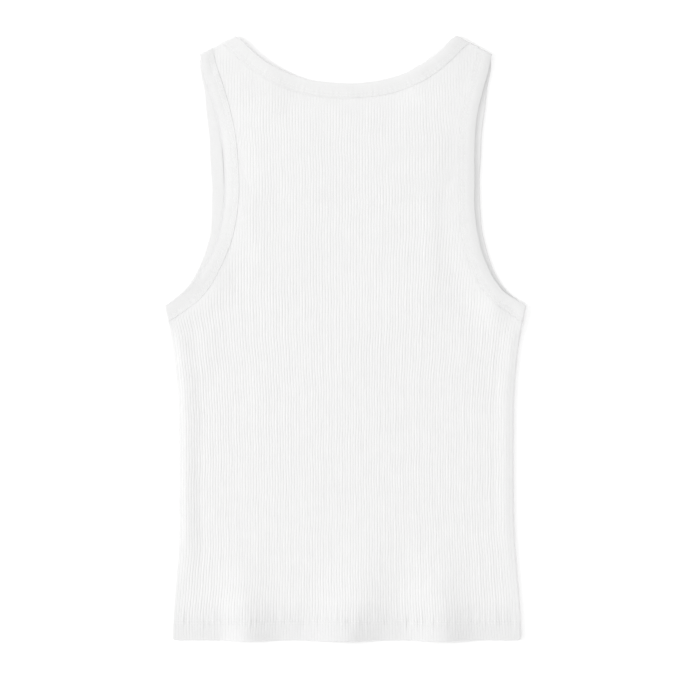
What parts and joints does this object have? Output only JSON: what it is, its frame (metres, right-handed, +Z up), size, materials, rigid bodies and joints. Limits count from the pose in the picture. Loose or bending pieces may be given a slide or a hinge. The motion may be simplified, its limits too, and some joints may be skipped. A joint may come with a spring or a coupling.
{
  "type": "ribbed tank top",
  "caption": "Sleeveless rib-knit tank top laid flat with its back up, with a bound round neck, bound armholes and a turned-up hem.",
  "frame": {"origin": "middle of the garment's outline, on the surface it lies on", "axes": "+Y from the hem to the shoulders, +X across the garment, +Z up from the surface"},
  "size_m": [0.3602, 0.6, 0.0084],
  "materials": {
    "rib_knit": "matte white cotton rib knit",
    "binding_knit": "matte white fine plain knit"
  },
  "bodies": {
    "root": {"back_panel": "rib_knit", "front_panel": "rib_knit", "neck_binding": "binding_knit", "armhole_binding_left": "binding_knit", "armhole_binding_right": "binding_knit"}
  },
  "joints": []
}
